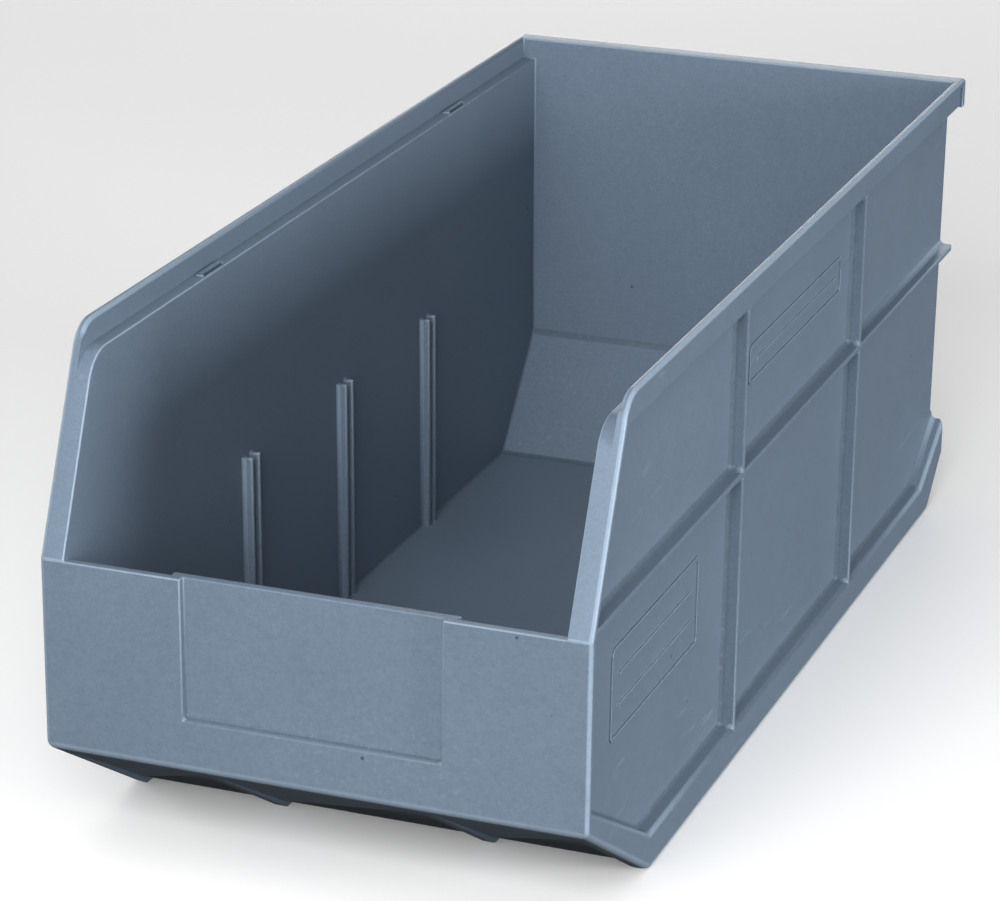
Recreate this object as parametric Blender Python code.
"""Stackable hopper-front shelf bin, moulded in one piece.

The moulding is laid out as its named zones. Each zone is one closed solid, and a hairline joint parts it from the
next, so walls, rims, ribs and feet can be read, weighed and tested one by one. Metres, +Z up. +X is the bin's right
side, the low hopper front faces -Y, and the origin lies on the shelf under the middle of the bin.
"""

import math

import bmesh
import bpy
from mathutils import Vector

# Overall size of the moulding
LENGTH = 0.450
WIDTH = 0.190
HEIGHT = 0.178

# Walls
WALL = 0.0032
JOINT = 0.0003
WALL_DRAFT = math.radians(0.4)
EDGE_DRAFT = math.radians(0.17)
EDGE_SOFTENING = 0.0005

# Low front, its label recess and the incline below it
FRONT_HEIGHT = 0.1065
LABEL_WIDTH = 0.0912
LABEL_BOTTOM = 0.0575
LABEL_DEPTH = 0.00275
LABEL_MARGIN = 0.0044
INCLINE_HEIGHT = 0.040
INCLINE_RUN = 0.064

# Sloping side edges and the stacking rim
SLOPE_RUN = 0.030
RIM_CORNER_RADIUS = 0.012
UPSTAND = 0.0032
LEDGE_WIDTH = 0.005
LEDGE_DROP = 0.0085
BAND_HEIGHT = 0.0102
SLOT_LENGTH = 0.0175
SLOT_WIDTH = 0.0015
SLOT_LIP = 0.0012
SLOT_FROM_FRONT = 0.123
SLOT_FROM_REAR = 0.095

# Rear wall, its incline and the lip that hangs over a rail
REAR_OVERHANG = 0.0065
HANG_LIP = 0.0032
HANG_LIP_DROP = 0.012
HANG_LIP_RADIUS = 0.0028
REAR_INCLINE_HEIGHT = 0.0488
REAR_INCLINE_RUN = 0.0389

# Runners and base skirt
FOOT = 0.004
RUNNER_WIDTH = 0.004
RUNNER_OFFSET = 0.038
SKIRT_HEIGHT = 0.0135
SKIRT_FRONT_TOP = 0.050
SKIRT_REAR_INSET = 0.004
SKIRT_REAR_RUN = 0.022
SKIRT_REAR_LIFT = 0.019
SKIRT_REAR_TOP = 0.033
SKIRT_TOP_RUN = 0.034
SKIRT_EDGE_RADIUS = 0.003

# Outer ribs
RIB_THICKNESS = 0.0022
MID_RIB_HEIGHT = 0.1072
REAR_CORNER_RADIUS = 0.0045
OUTER_RIBS = {"front": 0.1555, "rear": 0.303}

# Guide ribs that hold a divider between them
GUIDE_POSITIONS = (0.1405, 0.2267, 0.311)
GUIDE_THICKNESS = 0.002
GUIDE_SLOT = 0.004
GUIDE_REACH = 0.0037
GUIDE_TOP = 0.0945

ROUND_SEGMENTS = 4
SIDES = {"left": -1, "right": 1}

# Polypropylene shades, linear: the same moulding as it looks outside, on the rim and inside
OUTSIDE = (0.165, 0.225, 0.300)
RIM = (0.290, 0.380, 0.480)
INSIDE = (0.075, 0.100, 0.130)
ROUGHNESS = 0.5


def from_front(distance):
    """Y of a place this far behind the front face."""
    return distance - LENGTH / 2


def inner_face(z):
    """X of the right side wall's inner face at this height."""
    return WIDTH / 2 - UPSTAND - LEDGE_WIDTH - (HEIGHT - z) * math.tan(WALL_DRAFT)


def panel_face(z):
    """X of the right side panel's outer face at this height."""
    return inner_face(z) + WALL


def outer_edge(z):
    """X that the right side's ribs, rim and skirt reach at this height."""
    return WIDTH / 2 - (HEIGHT - z) * math.tan(EDGE_DRAFT)


def between_walls(z):
    """X where a plate between the side walls ends on the right."""
    return inner_face(z) - JOINT


def on_panel(z):
    """X where a rib on the right panel begins."""
    return panel_face(z) + JOINT


def mirrored(face):
    """The same face of the left side."""
    return lambda z: -face(z)


def at(x):
    """A face that stands upright at this X."""
    return lambda z: x


def incline_line(y_from_front):
    """Height of the front incline's underside."""
    return INCLINE_HEIGHT * (1 - y_from_front / INCLINE_RUN)


def slope_line(z):
    """Distance behind the front face at which the sloping edge passes this height."""
    return SLOPE_RUN * (z - FRONT_HEIGHT) / (HEIGHT - FRONT_HEIGHT)


def flange_back(z):
    """Distance behind the front face of the sloping edge's rear side at this height."""
    return slope_line(z) + WALL * math.hypot(1, SLOPE_RUN / (HEIGHT - FRONT_HEIGHT))


def tail_reach(z):
    """Distance behind the front face at which the skirt's rising tail passes this height."""
    return LENGTH - SKIRT_REAR_INSET - SKIRT_REAR_RUN * (1 - z / SKIRT_REAR_LIFT)


def tail_line(distance):
    """Height of the skirt's rising tail this far behind the front face."""
    return SKIRT_REAR_LIFT * (distance - tail_reach(0)) / SKIRT_REAR_RUN


def crossing(first, second):
    """Where two lines meet. Each is a point and a direction."""
    (point_a, along_a), (point_b, along_b) = first, second
    step = (point_b - point_a).cross(along_b) / along_a.cross(along_b)
    return point_a + along_a * step


def offset_inward(profile, distance):
    """The profile moved to its left by a distance, with mitred corners and square ends."""
    lines = []
    for start, end in zip(profile, profile[1:]):
        along = (end - start).normalized()
        lines.append((start + along.orthogonal() * distance, along))
    moved = [lines[0][0]]
    moved += [crossing(before, after) for before, after in zip(lines, lines[1:])]
    last = (profile[-1] - profile[-2]).normalized()
    moved.append(profile[-1] + last.orthogonal() * distance)
    return moved


def fillet(corner, before, after, radius):
    """Points of the arc that rounds a corner between its two neighbours."""
    to_before = (before - corner).normalized()
    to_after = (after - corner).normalized()
    half_angle = to_before.angle(to_after) / 2
    reach = radius / math.tan(half_angle)
    centre = corner + (to_before + to_after).normalized() * radius / math.sin(half_angle)
    start = corner + to_before * reach - centre
    end = corner + to_after * reach - centre
    turn = start.angle_signed(end)
    points = []
    for step in range(ROUND_SEGMENTS + 1):
        angle = -turn * step / ROUND_SEGMENTS
        points.append(centre + Vector((
            start.x * math.cos(angle) - start.y * math.sin(angle),
            start.x * math.sin(angle) + start.y * math.cos(angle),
        )))
    return points


def plastic(name, colour):
    """Satin polypropylene in one shade."""
    material = bpy.data.materials.new(name)
    material.use_nodes = True
    shader = material.node_tree.nodes["Principled BSDF"]
    shader.inputs["Base Color"].default_value = (*colour, 1)
    shader.inputs["Roughness"].default_value = ROUGHNESS
    shader.inputs["Metallic"].default_value = 0
    return material


def prism(outline, near, far):
    """A closed solid: an outline of (distance from front, height) carried across X between two faces."""
    bm = bmesh.new()
    corners = [bm.verts.new((near(z), from_front(y), z)) for y, z in outline]
    grown = bmesh.ops.extrude_face_region(bm, geom=[bm.faces.new(corners)])
    for item in grown["geom"]:
        if isinstance(item, bmesh.types.BMVert):
            item.co.x = far(item.co.z)
    bmesh.ops.recalc_face_normals(bm, faces=bm.faces)
    return bm


def block(x_span, y_span, z_span):
    """A box between two X, two distances from the front and two heights."""
    (y_near, y_far), (z_low, z_high) = y_span, z_span
    outline = [(y_near, z_low), (y_far, z_low), (y_far, z_high), (y_near, z_high)]
    return prism(outline, at(x_span[0]), at(x_span[1]))


def round_edges(bm, chosen, radius):
    """Rounds the edges that the test picks."""
    edges = [edge for edge in bm.edges if chosen(edge)]
    bmesh.ops.bevel(bm, geom=edges, offset=radius, segments=ROUND_SEGMENTS, profile=0.5, affect="EDGES")


def outermost(edge):
    """Whether an edge lies on the outer face of either side."""
    return all(abs(abs(vert.co.x) - outer_edge(vert.co.z)) < JOINT / 2 for vert in edge.verts)


def add_object(name, bm):
    """Puts a finished mesh in the scene, on an origin at the middle of its box."""
    low = Vector([min(vert.co[axis] for vert in bm.verts) for axis in range(3)])
    high = Vector([max(vert.co[axis] for vert in bm.verts) for axis in range(3)])
    middle = (low + high) / 2
    bmesh.ops.translate(bm, verts=bm.verts, vec=-middle)
    mesh = bpy.data.meshes.new(name)
    bm.to_mesh(mesh)
    bm.free()
    obj = bpy.data.objects.new(name, mesh)
    obj.location = middle
    bpy.context.scene.collection.objects.link(obj)
    return obj


def zone(name, bm, colour, soft_edges=True):
    """One named zone of the moulding, in its own material."""
    obj = add_object(name, bm)
    obj.parent = moulding
    obj.data.materials.append(plastic(name, colour))
    if soft_edges:
        bevel = obj.modifiers.new("soft_edges", "BEVEL")
        bevel.width = EDGE_SOFTENING
        bevel.segments = 1
        bevel.limit_method = "ANGLE"
    return obj


def combine(obj, name, bm, operation):
    """Joins a hidden shape to a zone, or cuts it out."""
    guide = add_object(name, bm)
    guide.parent = moulding
    guide.hide_render = True
    guide.display_type = "WIRE"
    boolean = obj.modifiers.new(name, "BOOLEAN")
    boolean.operation = operation
    boolean.solver = "EXACT"
    boolean.object = guide


def trough_zones():
    """The floor and the plates that rise from it to the front and rear walls, mitred where they meet."""
    rear_face = LENGTH - REAR_OVERHANG
    front_end = WALL + JOINT
    floor_start = INCLINE_RUN * (1 - FOOT / INCLINE_HEIGHT)
    profile = [
        Vector((front_end, incline_line(front_end))),
        Vector((floor_start, FOOT)),
        Vector((rear_face - REAR_INCLINE_RUN, FOOT)),
        Vector((rear_face, REAR_INCLINE_HEIGHT)),
        Vector((rear_face, HEIGHT - BAND_HEIGHT - JOINT)),
    ]
    inside = offset_inward(profile, WALL)
    along = (profile[1] - profile[0]).normalized()
    inside[0] = crossing((inside[0], along), (profile[0], Vector((0, 1))))
    names = ("front_incline", "floor_panel", "rear_incline", "rear_wall")
    for index, name in enumerate(names):
        outer = [profile[index], profile[index + 1]]
        inner = [inside[index], inside[index + 1]]
        along = (outer[1] - outer[0]).normalized() * JOINT / 2
        front_gap = along if index else along * 0
        rear_gap = along if index + 1 < len(names) else along * 0
        outline = [outer[0] + front_gap, outer[1] - rear_gap, inner[1] - rear_gap, inner[0] + front_gap]
        zone(name, prism(outline, mirrored(between_walls), between_walls), INSIDE, soft_edges=False)
    return profile


def front_wall():
    """The low front, full width, with a label recess that is open at its top edge."""
    outline = [(0, INCLINE_HEIGHT), (WALL, incline_line(WALL)), (WALL, FRONT_HEIGHT), (0, FRONT_HEIGHT)]
    wall = zone("front_wall", prism(outline, mirrored(outer_edge), outer_edge), OUTSIDE, soft_edges=False)
    half = LABEL_WIDTH / 2
    backing = half + LABEL_MARGIN
    z_span = (LABEL_BOTTOM - WALL, FRONT_HEIGHT)
    combine(wall, "label_backing", block((-backing, backing), (WALL / 2, WALL + LABEL_DEPTH), z_span), "UNION")
    z_span = (LABEL_BOTTOM, FRONT_HEIGHT + WALL)
    combine(wall, "label_recess", block((-half, half), (-WALL, LABEL_DEPTH), z_span), "DIFFERENCE")


def side_wall(side, sign, profile):
    """The drafted side panel, which closes the trough's end and reaches down behind its rear incline."""
    front, floor_start, rear_top = profile[0], profile[1], profile[-1]
    outline = [tuple(front), tuple(floor_start), (tail_reach(FOOT), FOOT), (rear_top.x, tail_line(rear_top.x))]
    outline += [tuple(rear_top), *((flange_back(z) + JOINT, z) for z in (rear_top.y, FRONT_HEIGHT))]
    outline.append((front.x, FRONT_HEIGHT))
    zone(f"{side}_wall", prism(outline, *sided(sign, inner_face, panel_face)), OUTSIDE, soft_edges=False)


def sided(sign, near, far):
    """Two faces of the right side, or of the left where the sign is negative."""
    return (near, far) if sign > 0 else (mirrored(near), mirrored(far))


def slope_flange(side, sign):
    """The flat edge that frames the hopper mouth, from the front wall up to the rim."""
    low = FRONT_HEIGHT + JOINT
    high = HEIGHT - BAND_HEIGHT - JOINT
    outline = [(slope_line(low), low), (flange_back(low), low), (flange_back(high), high), (slope_line(high), high)]
    zone(f"{side}_slope_flange", prism(outline, *sided(sign, inner_face, outer_edge)), RIM)


def rim_zones(side, sign):
    """The upstand that keeps a stacked bin in place, and the ledge that carries it."""
    band_low = HEIGHT - BAND_HEIGHT
    band_rear = LENGTH - REAR_OVERHANG
    plate_low = HEIGHT - WALL - JOINT
    plate_front = LENGTH - REAR_OVERHANG - WALL - JOINT
    shoulder = WIDTH / 2 - UPSTAND
    corner = Vector((SLOPE_RUN, HEIGHT))
    start = Vector((slope_line(band_low), band_low))
    rear = Vector((plate_front, HEIGHT))
    outline = [tuple(start), *(tuple(point) for point in fillet(corner, start, rear, RIM_CORNER_RADIUS))]
    outline += [tuple(rear), (plate_front, plate_low), (band_rear, plate_low), (band_rear, band_low)]
    faces = sided(sign, at(shoulder), outer_edge)
    zone(f"{side}_rim_upstand", prism(outline, *faces), RIM)

    ledge_top = HEIGHT - LEDGE_DROP
    outline = [(slope_line(band_low), band_low), (slope_line(ledge_top), ledge_top)]
    outline += [(plate_front, ledge_top), (plate_front, band_low)]
    faces = sided(sign, inner_face, at(shoulder - JOINT))
    ledge = zone(f"{side}_stacking_ledge", prism(outline, *faces), RIM, soft_edges=False)
    lip = WIDTH / 2 - UPSTAND - LEDGE_WIDTH + SLOT_LIP
    x_span = (sign * lip, sign * (lip + SLOT_WIDTH))
    for name, middle in (("front", SLOT_FROM_FRONT), ("rear", LENGTH - SLOT_FROM_REAR)):
        y_span = (middle - SLOT_LENGTH / 2, middle + SLOT_LENGTH / 2)
        slot = block(x_span, y_span, (band_low - WALL, ledge_top + WALL))
        combine(ledge, f"{side}_{name}_slot", slot, "DIFFERENCE")


def rear_rim():
    """The rear wall's wide top, the plate across it and the lip that hangs over a rail."""
    wall_front = LENGTH - REAR_OVERHANG - WALL
    wall_rear = LENGTH - REAR_OVERHANG
    plate_low = HEIGHT - WALL
    lip_front = LENGTH - HANG_LIP
    half = WIDTH / 2 - UPSTAND - JOINT
    bar = block((-half, half), (wall_front, wall_rear), (HEIGHT - BAND_HEIGHT, plate_low - JOINT))
    zone("rear_rim", bar, INSIDE, soft_edges=False)
    faces = (mirrored(outer_edge), outer_edge)
    outline = [(wall_front, plate_low), (lip_front - JOINT, plate_low), (lip_front - JOINT, HEIGHT)]
    outline.append((wall_front, HEIGHT))
    zone("rear_top_plate", prism(outline, *faces), RIM)
    low = HEIGHT - HANG_LIP_DROP
    corner = Vector((LENGTH, HEIGHT))
    rounding = fillet(corner, Vector((LENGTH, low)), Vector((lip_front, HEIGHT)), HANG_LIP_RADIUS)
    outline = [(lip_front, low), (LENGTH, low), *(tuple(point) for point in rounding), (lip_front, HEIGHT)]
    zone("rear_hang_lip", prism(outline, *faces), RIM)


def outer_ribs(side, sign):
    """The long rib at mid height and the upright ribs above and below it."""
    faces = sided(sign, on_panel, outer_edge)
    mid_top = MID_RIB_HEIGHT + RIB_THICKNESS
    front = max(WALL, flange_back(mid_top)) + JOINT
    rear = LENGTH - REAR_OVERHANG
    outline = [(front, MID_RIB_HEIGHT), (rear, MID_RIB_HEIGHT), (rear, mid_top), (front, mid_top)]
    mid_rib = prism(outline, *faces)
    round_edges(mid_rib, rear_corner(rear), REAR_CORNER_RADIUS)
    zone(f"{side}_mid_rib", mid_rib, OUTSIDE)
    spans = {
        "lower": (SKIRT_HEIGHT + JOINT, MID_RIB_HEIGHT - JOINT),
        "upper": (mid_top + JOINT, HEIGHT - BAND_HEIGHT - JOINT),
    }
    for place, front in OUTER_RIBS.items():
        for level, (low, high) in spans.items():
            rear = front + RIB_THICKNESS
            outline = [(front, low), (rear, low), (rear, high), (front, high)]
            zone(f"{side}_{place}_rib_{level}", prism(outline, *faces), OUTSIDE)


def rear_corner(rear):
    """A test for the upright edge at the outer rear corner of a piece that ends at this distance."""
    def chosen(edge):
        return outermost(edge) and all(abs(vert.co.y - from_front(rear)) < JOINT / 2 for vert in edge.verts)
    return chosen


def lower_outer(edge):
    """Whether an edge is the base skirt's lower outer one, along Y."""
    return outermost(edge) and all(vert.co.z < JOINT / 2 for vert in edge.verts)


def base_skirt(side, sign):
    """The thickened foot round the side: up the front incline, along the shelf and up at the rear."""
    faces = sided(sign, on_panel, outer_edge)
    front = WALL + JOINT
    rise = (SKIRT_FRONT_TOP - SKIRT_HEIGHT) * (1 - front / INCLINE_RUN)
    bend = INCLINE_RUN - JOINT / 2
    outline = [(front, incline_line(front)), (bend, incline_line(bend)), (bend, SKIRT_HEIGHT)]
    outline.append((front, SKIRT_HEIGHT + rise))
    zone(f"{side}_skirt_front", prism(outline, *faces), OUTSIDE, soft_edges=False)

    rear = LENGTH - SKIRT_REAR_INSET
    low_bend = tail_reach(0)
    high_bend = rear - SKIRT_TOP_RUN
    bend = INCLINE_RUN + JOINT / 2
    outline = [(bend, 0), (low_bend, 0), (high_bend, SKIRT_HEIGHT), (bend, SKIRT_HEIGHT)]
    base = prism(outline, *faces)
    round_edges(base, lower_outer, SKIRT_EDGE_RADIUS)
    zone(f"{side}_skirt_base", base, OUTSIDE, soft_edges=False)

    outline = [(low_bend + JOINT, 0), (rear, SKIRT_REAR_LIFT), (rear, SKIRT_REAR_TOP)]
    outline.append((high_bend + JOINT, SKIRT_HEIGHT))
    tail = prism(outline, *faces)
    round_edges(tail, rear_corner(rear), REAR_CORNER_RADIUS)
    zone(f"{side}_skirt_rear", tail, OUTSIDE, soft_edges=False)


def runner(side, sign):
    """The narrow foot under the whole floor, which leads in at both ends."""
    middle = sign * RUNNER_OFFSET
    top = FOOT - JOINT
    lead_in = FOOT * INCLINE_RUN / INCLINE_HEIGHT
    floor_end = LENGTH - REAR_OVERHANG - REAR_INCLINE_RUN
    outline = [(INCLINE_RUN, 0), (floor_end - lead_in, 0), (floor_end, top), (INCLINE_RUN - lead_in, top)]
    faces = at(middle - RUNNER_WIDTH / 2), at(middle + RUNNER_WIDTH / 2)
    zone(f"{side}_runner", prism(outline, *faces), OUTSIDE, soft_edges=False)


def divider_guides(side, sign):
    """Pairs of upright ribs inside the wall, with a slot between them for a divider."""
    def reach(z):
        return inner_face(z) - GUIDE_REACH

    low = FOOT + WALL + JOINT
    number = 0
    for position in GUIDE_POSITIONS:
        for front in (position, position + GUIDE_THICKNESS + GUIDE_SLOT):
            number += 1
            rear = front + GUIDE_THICKNESS
            outline = [(front, low), (rear, low), (rear, GUIDE_TOP), (front, GUIDE_TOP)]
            faces = sided(sign, reach, between_walls)
            zone(f"{side}_divider_rib_{number}", prism(outline, *faces), INSIDE)


for leftover in list(bpy.data.objects):
    bpy.data.objects.remove(leftover)
moulding = bpy.data.objects.new("moulding", None)
bpy.context.scene.collection.objects.link(moulding)

trough = trough_zones()
front_wall()
rear_rim()
for side_name, side_sign in SIDES.items():
    side_wall(side_name, side_sign, trough)
    slope_flange(side_name, side_sign)
    rim_zones(side_name, side_sign)
    outer_ribs(side_name, side_sign)
    base_skirt(side_name, side_sign)
    runner(side_name, side_sign)
    divider_guides(side_name, side_sign)
